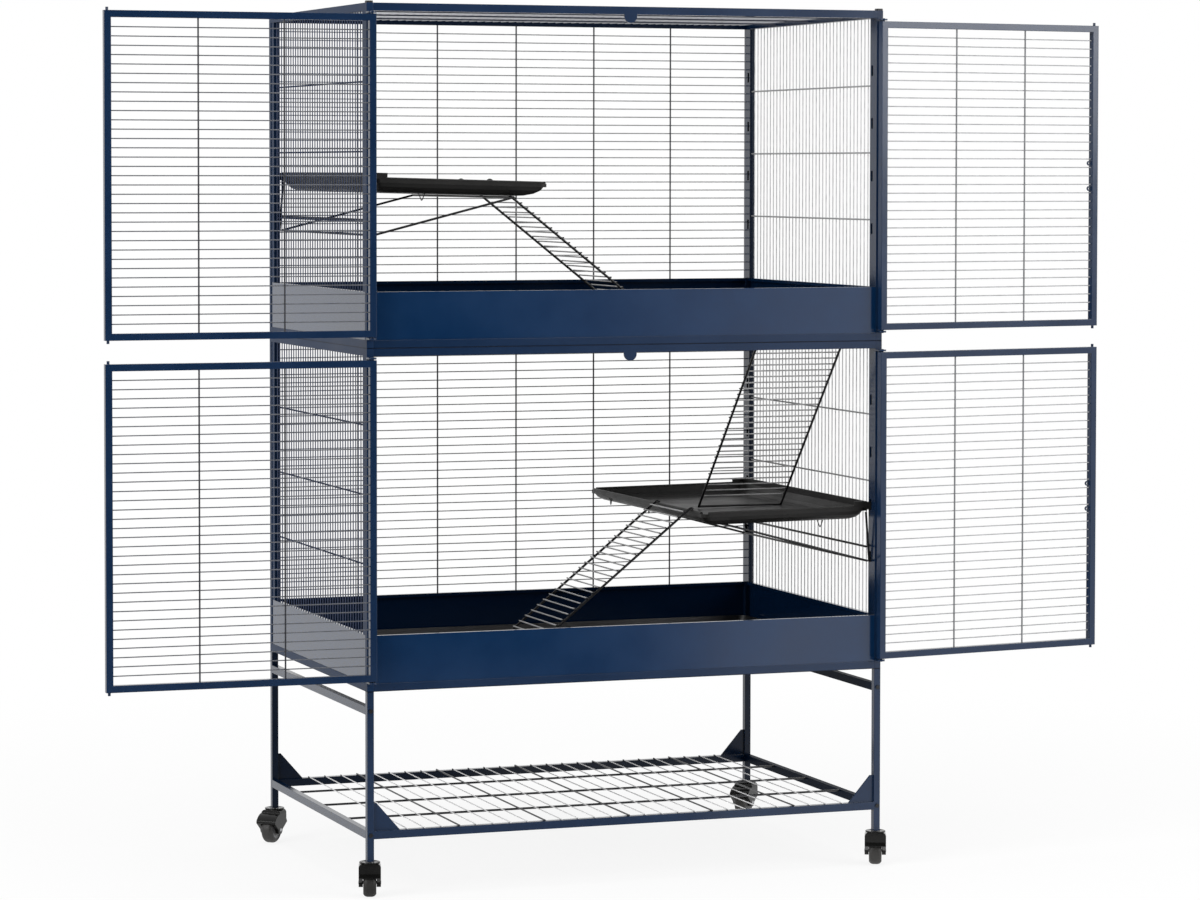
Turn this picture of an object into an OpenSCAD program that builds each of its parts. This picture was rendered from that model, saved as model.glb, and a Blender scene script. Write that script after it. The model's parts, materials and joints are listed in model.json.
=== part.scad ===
// Two-storey ferret cage on a wheeled stand, with its four doors swung wide open.
// Two equal welded units stand on top of each other. Each has a sheet guard round
// its foot, wire walls, a plastic tray, a hooked-in plastic shelf and a wire ladder.
// Millimetres. X runs along the front, Y runs from front to back, Z is up.

/* [Cage] */
// Width over the corner posts
cage_w = 980; // [860:1:1100]
// Depth over the corner posts
cage_d = 628; // [560:1:720]
// Height of one of the two stacked units
unit_h = 600; // [560:1:660]
// Side of the square post tube
post = 12; // [11:0.5:14]
// Height of the horizontal rails
rail_h = 14; // [12:0.5:18]
// Height of the sheet guard's top above the foot of its unit
guard_h = 98; // [70:1:130]
// Thickness of the guard sheet
sheet_t = 1.2; // [0.8:0.1:1.6]
// Width of the flange folded inwards along the guard's top
guard_flange = 8; // [6:0.5:9]
// How far the guard sheet sits back from the frame's outer face
guard_inset = 1; // [0.5:0.1:2]
// Height of the plastic caps on top of the posts
cap_h = 3.5; // [2:0.5:6]

/* [Slotted strips] */
// Width of the hollow slotted strip beside each post
strip_w = 17; // [15:0.5:22]
// Wall thickness of the slotted strip
strip_t = 1.6; // [1.2:0.1:2.4]
// Width of a slot
slot_w = 8; // [7:0.5:10]
// Height of a slot
slot_h = 19; // [16:0.5:24]
// Distance from slot to slot
slot_pitch = 96; // [90:1:110]
// Height of the lowest slot's centre above the foot of its unit
slot_first = 203.5; // [180:0.5:220]
// Number of slots in a strip
slot_count = 4; // [3:1:4]

/* [Wire] */
// Diameter of the thin wires
thin_d = 2; // [1.6:0.1:3]
// Diameter of the wires that cross and carry them
cross_d = 3; // [2.4:0.1:4]
// Gap left where crossing wires meet in a spot weld
weld_gap = 0.02; // [0.01:0.01:0.05]
// Distance between the wires of the walls, the doors and the roof
wire_pitch = 15.7; // [14:0.1:20]
// Distance between the fine wires of the storage grid
storage_pitch = 32; // [28:1:50]
// Diameter of the grid's three long wires
storage_wire_d = 4; // [3:0.5:5]

/* [Doors] */
// Gap between the free edges of two closed doors
door_gap = 24.6; // [18:0.1:40]
// Gap above and below a door in its unit
door_clear = 20; // [19.5:0.5:30]
// Side of the square door tube
door_tube = 12; // [10:0.5:13]
// Distance of the hinge axis in front of the posts
hinge_out = 15; // [12:0.5:20]
// Radius of the hinge pins
pin_r = 2.5; // [2:0.1:3]
// Length of a pin below or above its stile
pin_len = 5.5; // [5:0.1:5.9]
// Running clearance of the pins in their lugs
pin_play = 0.06; // [0.02:0.01:0.1]
// Thickness of a hinge lug
lug_t = 3; // [2:0.5:3.5]
// Radius of a hinge lug round its pin
lug_r = 7; // [5:0.5:7]
// Opening angle of the left doors in the stored pose
open_left = 181.3; // [170:0.1:190]
// Opening angle of the right doors in the stored pose
open_right = 188.2; // [170:0.1:190]
// Width of the round stop tab in the middle of the doorway
stop_w = 24; // [16:1:40]
// How far the stop tab hangs below its rail
stop_drop = 15; // [10:0.5:20]
// Thickness of the stop tab
stop_t = 3; // [2:0.5:6]

/* [Door latches] */
// Diameter of the latch wire
latch_d = 3; // [2.5:0.1:4]
// Wires of a door between its middle and either arm of the latch
latch_rows = 1; // [1:1:3]
// Length of the hooks at the ends of its arms
latch_hook = 8.5; // [7:0.5:10]
// Angle that the latch hangs away from square to its door in the stored pose
latch_turn = 16; // [0:1:30]
// Running clearance of the latch in its knuckles
latch_play = 0.06; // [0.02:0.01:0.1]
// Outer radius of the eyes that the hooks drop into
eye_r = 4.5; // [4:0.1:5.5]
// Radius of the hole in an eye
eye_hole_r = 2.3; // [2.2:0.1:2.6]
// Thickness of an eye
eye_t = 2.5; // [1.5:0.1:3]

/* [Shelves] */
// Width of a shelf from its free edge to the wall
shelf_w = 323; // [300:1:330]
// Depth of a shelf from its rim to its underside
shelf_rim = 27; // [24:1:32]
// Height of the skirt that hangs from the rim
skirt_h = 10; // [8:0.5:12]
// Thickness of the skirt
skirt_t = 2.2; // [1.8:0.1:2.6]
// How far the underside draws in along the free edge
free_slope = 46; // [30:1:50]
// How far the underside draws in at both ends
end_slope = 34; // [24:1:40]
// How far the underside draws in along the wall
wall_slope = 22; // [16:1:26]
// How far the lower and the upper shelf's free edge hangs below the side at the wall
shelf_sag = [4, 8.5]; // [0:0.5:10]
// Wall thickness of the moulded plastic
plastic_t = 3; // [2.5:0.1:3.5]
// Gap between a shelf's end and the frame's outer face
shelf_end_gap = 20; // [20:0.5:20.5]
// Height of the upright lip along the wall
shelf_lip = 7.5; // [5:0.5:9]
// How far the lip runs on round the shelf's corners
lip_return = 25; // [15:1:40]
// Slot that carries the shelf, counted up from 0 at the lowest one
shelf_slot = 1; // [1:1:2]
// How far the shelf's rim lies below the middle of its slot
shelf_below_slot = 1.5; // [0:0.5:5]
// Gap between the slotted strips and a shelf's back
wall_gap = 7; // [6:0.5:9]
// Play of an ear in the width of its slot
ear_play = 1.2; // [0.5:0.1:1.5]
// Radius of the bead along the free edge
bead_r = 2.6; // [2.2:0.1:3]
// Diameter of the bracket wire
bracket_d = 4; // [3:0.5:5]
// Reach of the bracket struts from the wall
strut_reach = 258; // [220:1:265]
// Height of the bracket's cross wire above its foot
bracket_bar_h = 26; // [20:1:40]
// Gap between pieces that rest on each other
seat_gap = 0.3; // [0.2:0.05:0.4]

/* [Trays] */
// Height of a tray's rim above the foot of its unit
tray_rim_h = 33; // [26:1:40]
// Height of a tray's underside above the foot of its unit
tray_floor_h = 3; // [2:0.5:5]
// How far the tray's sides lean in towards the floor
tray_taper = 7; // [5:0.5:9]
// Width of the passage in the upper tray
passage_w = 190; // [180:1:220]
// Length of the passage in the upper tray
passage_l = 170; // [150:1:200]
// Distance of the passage from the right-hand posts
passage_side = 33; // [30:1:60]
// Distance of the passage from the front posts
passage_front = 16; // [15:1:40]
// Height of the collar round the passage
collar_h = 10; // [8:0.5:14]

/* [Ladders] */
// Length of a ladder from its hook to its foot
ladder_len = 457; // [430:1:470]
// Distance between the middles of its rails
ladder_w = 168; // [150:1:172]
// Diameter of the rails
ladder_rail_d = 4.4; // [4:0.1:5]
// Diameter of the rungs
rung_d = 2.6; // [2:0.1:3.2]
// Distance from rung to rung
rung_pitch = 15; // [14:0.5:24]
// How far its hooks reach round the bead, in degrees
hook_wrap = 90; // [80:1:90]
// Shift of the lower ladder towards the front
lower_ladder_shift = 146; // [100:1:160]
// Shift of the upper ladder towards the back
upper_ladder_shift = 105; // [60:1:160]

/* [Stand] */
// Height of the stand under the cage
stand_top = 363; // [320:1:420]
// Height of the storage shelf's rails above the floor
storage_z = 104; // [95:1:150]
// Gap between the upper side rails' top and the stand's top
side_rail_drop = 27; // [20:1:40]
// Length of the corner gussets' legs
gusset = 49; // [35:1:70]
// Thickness of a gusset
gusset_t = 2.5; // [2:0.5:4]
// Radius of the bolts' shanks
bolt_r = 2; // [1.5:0.1:2.5]
// Radius of the bolts' heads
bolt_head_r = 3.6; // [3:0.1:4.5]
// Height of the bolts' heads
bolt_head_h = 2.2; // [1.5:0.1:3]
// Play of a bolt in its hole
bolt_play = 0.05; // [0.02:0.01:0.1]

/* [Casters] */
// Radius of a caster wheel
wheel_r = 25; // [22:0.5:26]
// Width of a caster wheel
wheel_w = 23; // [18:0.5:24]
// Height from the floor to the legs
caster_h = 65; // [65:0.5:70]
// Distance of the axle behind the swivel axis
trail = 14; // [12:0.5:16]
// Width of the fork over both arms
fork_w = 39; // [36:0.5:42]
// Radius of the axle
axle_r = 3; // [2.5:0.1:4]
// Running clearance of the wheel on its axle
axle_play = 0.06; // [0.02:0.01:0.1]
// Radius of the stem that the fork turns on
stem_r = 4; // [3.5:0.1:4.2]
// Running clearance of the fork on its stem
stem_play = 0.06; // [0.02:0.01:0.1]
// Swivel angles of the front left, front right, rear left and rear right casters
caster_turn = [-17, -24, 139, 135]; // [-180:1:180]

/* [Hidden] */

$fn = 48;
eps = 0.01;
hull_fn = 32;
bend_swell = 0.2;

navy = "#1c2c50";
wire_grey = "#4a4d52";
black_plastic = "#202022";
tyre_black = "#2b2b2b";
steel = "silver";

// Planes of the frame. The cage sits back a little, so that the doors' hinges in
// front and the back rails behind are the same distance from the middle.
x_out = cage_w / 2;
x_in = x_out - post;
y_mid = (hinge_out + lug_r) / 2;
y_front = y_mid - cage_d / 2;
y_back = y_mid + cage_d / 2;
y_front_in = y_front + post;
y_back_in = y_back - post;
upper_z = stand_top + unit_h;
function unit_z(level) = level == 0 ? stand_top : upper_z;

// Slotted strips and what hooks into them
slot_y = post + strip_w / 2;
function slot_z(i) = slot_first + i * slot_pitch;

// Shelves tilt about the top of their rim at the wall. A height below that rim, at a
// place in from the wall, is turned into a height above the unit's foot.
shelf_wall_x = x_in - wall_gap;
shelf_rim_z = slot_z(shelf_slot) - shelf_below_slot;
function shelf_tilt(level) = asin(shelf_sag[level] / shelf_w);
function shelf_z(level, x, depth) =
    shelf_rim_z - (shelf_wall_x - x) * tan(shelf_tilt(level)) - depth / cos(shelf_tilt(level));
shelf_d = cage_d - 2 * shelf_end_gap;
ear_w = slot_w - 2 * ear_play;
hook_out = strip_t + 3;

// Brackets: the foot rests in the slot below the shelf's own slot
bracket_r = bracket_d / 2;
bracket_foot_x = x_in - bracket_r - seat_gap;
bracket_foot_z = slot_z(shelf_slot - 1) - slot_h / 2 + bracket_r + seat_gap;
bracket_top_z = shelf_rim_z - skirt_h - bracket_r;
strut_x = shelf_wall_x - strut_reach;
function strut_top_z(level) = shelf_z(level, strut_x, shelf_rim) - bracket_r - seat_gap;

// Doors
hinge_x = x_out - post / 2 + 0.3;
hinge_y = y_front - hinge_out;
door_w = hinge_x - door_gap / 2;
door_h = unit_h - 2 * door_clear;
lug_gap = 1.5;
latch_r = latch_d / 2;
knuckle_h = 4;
latch_y = door_tube / 2 + latch_r + 2;
latch_x = door_w - door_tube / 2;
eye_x = door_w - door_tube - eye_r + 0.5;
latch_reach = 2 * hinge_x - latch_x - eye_x;
door_inner_h = door_h - 2 * door_tube;
door_rows = floor(door_inner_h / wire_pitch);
door_pitch = door_inner_h / door_rows;
latch_span = (2 * latch_rows + (door_rows % 2 == 0 ? 1 : 0)) * door_pitch;

// Ladders: hooks lie round the beads, rails leave them at a tangent
rail_r = ladder_rail_d / 2;
hook_r = bead_r + seat_gap + rail_r;
tray_top_z = tray_floor_h + plastic_t;
function shelf_bead_x(level) =
    shelf_wall_x - (shelf_w - bead_r) * cos(shelf_tilt(level)) + bead_r * sin(shelf_tilt(level));
function shelf_bead_z(level) = shelf_z(level, shelf_bead_x(level), bead_r);
passage_x = x_in - passage_side - passage_w / 2;
passage_y = y_front_in + passage_front + passage_l / 2;
passage_bead_y = passage_y - passage_l / 2 - plastic_t / 2;
collar_bead_z = tray_top_z + collar_h - bead_r;
function ladder_tilt(drop) =
    asin((drop - seat_gap - rail_r) / norm([ladder_len, hook_r])) + atan(hook_r / ladder_len);
function shelf_ladder_drop(level) = shelf_bead_z(level) - tray_top_z;
ladder_end_x = passage_x + ladder_w / 2 + rail_r;
passage_ladder_drop = unit_h + collar_bead_z - shelf_z(0, ladder_end_x, shelf_rim - plastic_t);

// Casters
slot_clear = 0.6;
arm_end_r = 8;
stem_foot = 53;
stem_top = caster_h + 22;
fork_top = caster_h - 3 - seat_gap;

// A box from one corner to the other
module span(low, high) {
    translate(low) cube(high - low);
}

// A round wire from one point to another
module wire(a, b, d) {
    run = b - a;
    translate(a)
        rotate([0, acos(run.z / norm(run)), atan2(run.y, run.x)])
            cylinder(d = d, h = norm(run));
}

// The slightly swollen bend where two lengths of one wire meet
module bend(at, d) {
    translate(at) sphere(d = d + bend_swell);
}

// Both ends of something along Y
module both_ends() {
    translate([0, y_mid, 0])
        for (side = [0, 1]) mirror([0, side, 0]) translate([0, -y_mid, 0]) children();
}

module rounded_plate(w, d, t, r) {
    linear_extrude(t)
        union() {
            square([w - 2 * r, d], center = true);
            square([w, d - 2 * r], center = true);
            for (x = [-1, 1], y = [-1, 1])
                translate([x * (w / 2 - r), y * (d / 2 - r)]) circle(r = r, $fn = hull_fn);
        }
}

// A block with rounded corners that is narrower at its foot
module tapered_block(w, d, h, taper, r) {
    hull() {
        rounded_plate(w - 2 * taper, d - 2 * taper, eps, r);
        translate([0, 0, h - eps]) rounded_plate(w, d, eps, r);
    }
}

// ---- Stand ----

module gusset_plate() {
    rotate([90, 0, 0])
        linear_extrude(gusset_t, center = true)
            polygon([[0, 0], [gusset, 0], [6, gusset], [0, gusset]]);
}

// Two legs joined by the storage shelf's rail, with a gusset in each corner
module stand_end_frame() {
    difference() {
        union() {
            for (side = [-1, 1])
                translate([side * (x_out - post / 2) - post / 2, y_front, caster_h])
                    cube([post, post, stand_top - caster_h]);
            span([-x_in - eps, y_front, storage_z], [x_in + eps, y_front_in, storage_z + rail_h]);
            for (side = [0, 1])
                mirror([side, 0, 0])
                    translate([-x_in - eps, y_front + post / 2, storage_z + rail_h - eps])
                        gusset_plate();
        }
        for (side = [-1, 1]) {
            translate([side * (x_out - post / 2), y_front + post / 2, caster_h - 1])
                cylinder(r = stem_r, h = stem_top - caster_h + 2);
            for (z = side_rail_heights())
                translate([side * (x_out - post / 2), y_front - 1, z])
                    rotate([-90, 0, 0]) cylinder(r = bolt_r + bolt_play, h = post + 2);
        }
    }
}

function side_rail_heights() = [storage_z + rail_h / 2, stand_top - side_rail_drop - rail_h / 2];

module stand_side_rails(side) {
    color(navy)
        for (z = side_rail_heights())
            difference() {
                translate([side * (x_out - post / 2) - post / 2, y_front_in, z - rail_h / 2])
                    cube([post, y_back_in - y_front_in, rail_h]);
                both_ends()
                    translate([side * (x_out - post / 2), y_front_in - 1, z])
                        rotate([-90, 0, 0]) cylinder(r = bolt_r + bolt_play, h = post + 1);
            }
}

module stand_front_frame() {
    color(navy) stand_end_frame();
}

module stand_rear_frame() {
    color(navy) translate([0, 2 * y_mid, 0]) mirror([0, 1, 0]) stand_end_frame();
}

module stand_left_rails() {
    stand_side_rails(-1);
}

module stand_right_rails() {
    stand_side_rails(1);
}

module bolt() {
    rotate([-90, 0, 0]) {
        translate([0, 0, -bolt_head_h]) cylinder(r = bolt_head_r, h = bolt_head_h);
        cylinder(r = bolt_r, h = 2 * post - 2);
    }
}

module stand_bolts() {
    color(steel)
        both_ends()
            for (side = [-1, 1], z = side_rail_heights())
                translate([side * (x_out - post / 2), y_front, z]) bolt();
}

// Three long wires between the side rails, under a row of short ones on the end rails
module storage_grid() {
    top = storage_z + rail_h;
    long_z = top - storage_wire_d / 2;
    count = floor((x_in - gusset - cross_d) / storage_pitch);
    color(wire_grey) {
        for (i = [1 : 3])
            wire([-x_in, y_front + i * cage_d / 4, long_z], [x_in, y_front + i * cage_d / 4, long_z],
                storage_wire_d);
        for (i = [-count : count]) {
            d = i % 5 == 0 ? cross_d : thin_d;
            z = top + weld_gap + d / 2;
            wire([i * storage_pitch, y_front + 2, z], [i * storage_pitch, y_back - 2, z], d);
        }
    }
}

// ---- Casters ----

function caster_x(i) = (i % 2 == 0 ? -1 : 1) * (x_out - post / 2);
function caster_y(i) = i < 2 ? y_front + post / 2 : y_back - post / 2;

module at_caster(i) {
    translate([caster_x(i), caster_y(i), 0]) rotate([0, 0, caster_turn[i]]) children();
}

module caster_stems() {
    color(steel)
        for (i = [0 : 3])
            translate([caster_x(i), caster_y(i), 0]) {
                translate([0, 0, stem_foot]) cylinder(r = stem_r, h = stem_top - stem_foot);
                translate([0, 0, caster_h - 3]) cylinder(r = post / 2 + 2, h = 3);
            }
}

// Side outline of the fork: a hood over the wheel, arms down to the axle, a flat head
module fork_side() {
    intersection() {
        union() {
            translate([trail, wheel_r]) circle(r = wheel_r + 6);
            translate([-11, wheel_r + 16]) square([20, fork_top - wheel_r - 16]);
            translate([-11, fork_top - 8]) square([2 * trail, 8]);
        }
        union() {
            polygon([
                [-14, wheel_r + 12], [trail - arm_end_r, wheel_r], [trail + arm_end_r, wheel_r],
                [trail + wheel_r, wheel_r + 14], [trail + wheel_r, fork_top], [-14, fork_top]
            ]);
            translate([trail, wheel_r]) circle(r = arm_end_r);
        }
    }
}

// Front outline of the fork, with round shoulders
module fork_front() {
    shoulder = 7;
    foot = wheel_r - arm_end_r;
    union() {
        translate([-fork_w / 2, foot]) square([fork_w, fork_top - foot - shoulder]);
        translate([-fork_w / 2 + shoulder, foot]) square([fork_w - 2 * shoulder, fork_top - foot]);
        for (side = [-1, 1])
            translate([side * (fork_w / 2 - shoulder), fork_top - shoulder]) circle(r = shoulder);
    }
}

module fork() {
    reach = trail + 2 * wheel_r;
    color(black_plastic)
        difference() {
            intersection() {
                rotate([90, 0, 90]) linear_extrude(fork_w + 2, center = true) fork_side();
                rotate([90, 0, 0]) linear_extrude(2 * reach, center = true) fork_front();
            }
            translate([0, trail, wheel_r]) rotate([0, 90, 0])
                cylinder(r = wheel_r + 2.3, h = wheel_w + 2 * slot_clear, center = true);
            translate([0, trail, wheel_r]) rotate([0, 90, 0])
                cylinder(r = axle_r + 0.02, h = fork_w + 4, center = true);
            translate([0, 0, stem_foot - 0.5]) cylinder(r = stem_r + stem_play, h = caster_h);
        }
}

module axle() {
    color(steel)
        translate([0, trail, wheel_r]) rotate([0, 90, 0])
            cylinder(r = axle_r, h = fork_w + 1, center = true);
}

// Tread with round shoulders and a dished hub, turned round the axle
module wheel() {
    shoulder = 3;
    half = wheel_w / 2;
    color(tyre_black)
        translate([0, trail, wheel_r]) rotate([0, 90, 0])
            rotate_extrude()
                difference() {
                    union() {
                        translate([0, -half + shoulder]) square([wheel_r, wheel_w - 2 * shoulder]);
                        translate([0, -half]) square([wheel_r - shoulder, wheel_w]);
                        for (side = [-1, 1])
                            translate([wheel_r - shoulder, side * (half - shoulder)])
                                circle(r = shoulder);
                    }
                    translate([-1, -half - 1]) square([1 + axle_r + axle_play, wheel_w + 2]);
                    for (side = [-1, 1])
                        translate([8, side * half - 2.5]) square([wheel_r - 15, 5]);
                }
}

module caster_front_left_fork() { at_caster(0) fork(); }
module caster_front_right_fork() { at_caster(1) fork(); }
module caster_rear_left_fork() { at_caster(2) fork(); }
module caster_rear_right_fork() { at_caster(3) fork(); }
module caster_front_left_axle() { at_caster(0) axle(); }
module caster_front_right_axle() { at_caster(1) axle(); }
module caster_rear_left_axle() { at_caster(2) axle(); }
module caster_rear_right_axle() { at_caster(3) axle(); }
module caster_front_left_wheel() { at_caster(0) wheel(); }
module caster_front_right_wheel() { at_caster(1) wheel(); }
module caster_rear_left_wheel() { at_caster(2) wheel(); }
module caster_rear_right_wheel() { at_caster(3) wheel(); }

// ---- Cage units ----

// The hollow strip beside a post, with a row of slots that shelves and brackets hook into
module slotted_strip() {
    difference() {
        span([x_in, y_front_in - eps, guard_h],
            [x_out - guard_inset, y_front_in + strip_w, unit_h - rail_h + eps]);
        span([x_in + strip_t, y_front_in + strip_t, guard_h + strip_t],
            [x_out - guard_inset - strip_t, y_front_in + strip_w - strip_t, unit_h - rail_h - strip_t]);
        for (i = [0 : slot_count - 1])
            translate([x_in - 1, y_front + slot_y - slot_w / 2, slot_z(i) - slot_h / 2])
                cube([strip_t + 2, slot_w, slot_h]);
    }
}

// Right-hand wall frame: two posts, two rails and two slotted strips
module side_frame() {
    both_ends() {
        span([x_in, y_front, 0], [x_out, y_front_in, unit_h]);
        slotted_strip();
    }
    for (z = [0, unit_h - rail_h])
        span([x_in, y_front_in - eps, z], [x_out, y_back_in + eps, z + rail_h]);
}

module at_unit(level, side) {
    translate([0, 0, unit_z(level)]) mirror([side < 0 ? 1 : 0, 0, 0]) children();
}

module lower_left_side() { color(navy) at_unit(0, -1) side_frame(); }
module lower_right_side() { color(navy) at_unit(0, 1) side_frame(); }
module upper_left_side() { color(navy) at_unit(1, -1) side_frame(); }
module upper_right_side() { color(navy) at_unit(1, 1) side_frame(); }

// The round tab that the closing doors stop against
module stop_tab() {
    translate([0, stop_t, 0]) rotate([90, 0, 0])
        linear_extrude(stop_t)
            union() {
                translate([-stop_w / 2, stop_w / 2 - stop_drop])
                    square([stop_w, stop_drop - stop_w / 2 + eps]);
                intersection() {
                    translate([0, stop_w / 2 - stop_drop]) circle(d = stop_w);
                    translate([-stop_w / 2, -stop_drop]) square([stop_w, stop_drop]);
                }
            }
}

module level_rails() {
    for (z = [0, unit_h - rail_h])
        span([-x_in, y_front, z], [x_in, y_front_in, z + rail_h]);
}

module front_rails(level) {
    color(navy)
        at_unit(level, 1) {
            level_rails();
            translate([0, y_front, unit_h - rail_h]) stop_tab();
        }
}

module back_rails(level) {
    color(navy) at_unit(level, 1) translate([0, cage_d - post, 0]) level_rails();
}

module lower_front_rails() { front_rails(0); }
module upper_front_rails() { front_rails(1); }
module lower_back_rails() { back_rails(0); }
module upper_back_rails() { back_rails(1); }

// Section of a guard: an upright sheet, a flange folded inwards and a turned-down lip
module guard_section() {
    lip = 6;
    translate([guard_inset, 0]) {
        square([sheet_t, guard_h - rail_h]);
        translate([0, guard_h - rail_h - sheet_t]) square([guard_flange, sheet_t]);
        translate([guard_flange - sheet_t, guard_h - rail_h - lip]) square([sheet_t, lip]);
    }
}

// A guard along +X from the origin, its outer face towards -Y
module guard(length) {
    rotate([90, 0, 90]) linear_extrude(length) guard_section();
}

// One panel in front, one behind and one at each side
module guards(level) {
    color(navy)
        at_unit(level, 1) {
            both_ends() translate([-x_in, y_front, rail_h]) guard(2 * x_in);
            for (side = [0, 1])
                mirror([side, 0, 0])
                    translate([x_out, y_front_in, rail_h]) rotate([0, 0, 90])
                        guard(y_back_in - y_front_in);
        }
}

module lower_guards() { guards(0); }
module upper_guards() { guards(1); }

// Upright wires that stand on the guard's flange, with cross wires inside them
module side_grille(level, side) {
    y0 = y_front_in + strip_w;
    y1 = y_back_in - strip_w;
    count = floor((y1 - y0) / wire_pitch);
    pitch = (y1 - y0) / count;
    upright_x = x_out - guard_inset - guard_flange / 2;
    cross_x = upright_x - (thin_d + cross_d) / 2 - weld_gap;
    height = unit_h - rail_h - guard_h;
    color(wire_grey)
        at_unit(level, side) {
            for (i = [0 : count - 1])
                translate([upright_x, y0 + (i + 0.5) * pitch, guard_h]) cylinder(d = thin_d, h = height);
            for (i = [1 : 3])
                wire([cross_x, y0, guard_h + i * height / 4], [cross_x, y1, guard_h + i * height / 4],
                    cross_d);
        }
}

// Level wires between the back posts, with upright cross wires inside them
module back_grille(level) {
    wire_y = y_back - guard_inset - guard_flange / 2;
    cross_y = wire_y - (thin_d + cross_d) / 2 - weld_gap;
    height = unit_h - rail_h - guard_h;
    count = floor(height / wire_pitch);
    color(wire_grey)
        at_unit(level, 1) {
            for (i = [1 : count - 1])
                wire([-x_in, wire_y, guard_h + i * height / count],
                    [x_in, wire_y, guard_h + i * height / count], thin_d);
            for (i = [-2 : 2])
                translate([i * 2 * x_in / 6, cross_y, guard_h]) cylinder(d = cross_d, h = height);
        }
}

module lower_left_grille() { side_grille(0, -1); }
module lower_right_grille() { side_grille(0, 1); }
module lower_back_grille() { back_grille(0); }
module upper_left_grille() { side_grille(1, -1); }
module upper_right_grille() { side_grille(1, 1); }
module upper_back_grille() { back_grille(1); }

// Wires from front to back between the top rails, with long cross wires under them
module roof_grille() {
    z = unit_h - post / 2;
    cross_z = z - (thin_d + cross_d) / 2 - weld_gap;
    count = floor(2 * x_in / wire_pitch);
    pitch = 2 * x_in / count;
    color(wire_grey)
        at_unit(1, 1) {
            for (i = [1 : count - 1])
                wire([-x_in + i * pitch, y_front_in, z], [-x_in + i * pitch, y_back_in, z], thin_d);
            for (i = [1 : 3])
                wire([-x_in, y_front + i * cage_d / 4, cross_z],
                    [x_in, y_front + i * cage_d / 4, cross_z], cross_d);
        }
}

module post_caps() {
    color(black_plastic)
        both_ends()
            for (side = [-1, 1])
                translate([side * (x_out - post / 2), y_front + post / 2, upper_z + unit_h])
                    rounded_plate(post, post, cap_h, 2);
}

// ---- Trays ----

// A tray with leaning sides and a flange that rests on the bottom rails
module tray() {
    w = 2 * x_in - 2;
    d = cage_d - 2 * post - 2;
    ledge = post / 2;
    height = tray_rim_h - tray_floor_h;
    difference() {
        union() {
            translate([0, y_mid, tray_floor_h]) tapered_block(w, d, height, tray_taper, 18);
            translate([0, y_mid, rail_h + seat_gap])
                rounded_plate(2 * x_in + ledge, cage_d - 2 * post + ledge, 2, post);
        }
        translate([0, y_mid, tray_top_z])
            tapered_block(w - 2 * plastic_t, d - 2 * plastic_t, height, tray_taper, 15);
    }
}

module lower_tray() {
    color(black_plastic) at_unit(0, 1) tray();
}

// The upper tray has a collared passage that the passage ladder hooks on to
module upper_tray() {
    color(black_plastic)
        at_unit(1, 1) {
            difference() {
                union() {
                    tray();
                    translate([passage_x, passage_y, tray_floor_h])
                        rounded_plate(passage_w + 2 * plastic_t, passage_l + 2 * plastic_t,
                            plastic_t + collar_h - bead_r, 8);
                }
                translate([passage_x, passage_y, tray_floor_h - 1])
                    rounded_plate(passage_w, passage_l, plastic_t + collar_h + 2, 6);
            }
            wire([passage_x - passage_w / 2 + 4, passage_bead_y, collar_bead_z],
                [passage_x + passage_w / 2 - 4, passage_bead_y, collar_bead_z],
                2 * bead_r);
        }
}

// ---- Doors ----

module hinge_lug() {
    linear_extrude(lug_t)
        difference() {
            union() {
                circle(r = lug_r);
                translate([-lug_r, 0]) square([2 * lug_r, hinge_out]);
            }
            circle(r = pin_r + pin_play);
        }
}

module hinge_lugs() {
    color(navy)
        for (level = [0, 1], side = [-1, 1])
            translate([side * hinge_x, hinge_y, unit_z(level) + door_clear]) {
                translate([0, 0, -lug_gap - lug_t]) hinge_lug();
                translate([0, 0, door_h + lug_gap]) hinge_lug();
            }
}

// Puts a door, drawn along +X from its hinge axis with its outer face towards -Y,
// at its hinge and at its stored opening angle
module at_door(level, side) {
    angle = side < 0 ? -open_left : open_right;
    translate([side * hinge_x, hinge_y, unit_z(level) + door_clear])
        rotate([0, 0, side < 0 ? angle : 180 + angle])
            mirror([0, side < 0 ? 0 : 1, 0]) children();
}

// Tube frame with pins at both ends of both stiles
module door_frame() {
    half = door_tube / 2;
    for (x = [0, door_w - half]) {
        translate([x - half, -half, 0]) cube([door_tube, door_tube, door_h]);
        translate([x, 0, -pin_len]) cylinder(r = pin_r, h = door_h + 2 * pin_len);
    }
    for (z = [0, door_h - door_tube])
        span([half - eps, -half, z], [door_w - door_tube + eps, half, z + door_tube]);
}

// Knuckles on the outer face of a left door's free stile, round the latch's ends
module latch_knuckles() {
    for (side = [-1, 1])
        translate([latch_x, 0, door_h / 2 + side * (latch_span / 2 - latch_r - 1 - knuckle_h / 2)])
            linear_extrude(knuckle_h, center = true)
                difference() {
                    union() {
                        translate([0, -latch_y]) circle(r = latch_r + 1.8);
                        translate([-latch_r - 1.8, -latch_y])
                            square([latch_d + 3.6, latch_y - door_tube / 2 + eps]);
                    }
                    translate([0, -latch_y]) circle(r = latch_r + latch_play);
                }
}

// Eyes inside a right door's free stile, which the left door's latch hooks into
module latch_eyes() {
    for (side = [-1, 1])
        translate([eye_x, 0, door_h / 2 + side * latch_span / 2])
            rotate([90, 0, 0])
                difference() {
                    cylinder(r = eye_r, h = eye_t, center = true);
                    cylinder(r = eye_hole_r, h = eye_t + 2, center = true);
                }
}

module left_door(level) {
    color(navy)
        at_door(level, -1) {
            door_frame();
            latch_knuckles();
        }
}

module right_door(level) {
    color(navy)
        at_door(level, 1) {
            door_frame();
            latch_eyes();
        }
}

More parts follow.
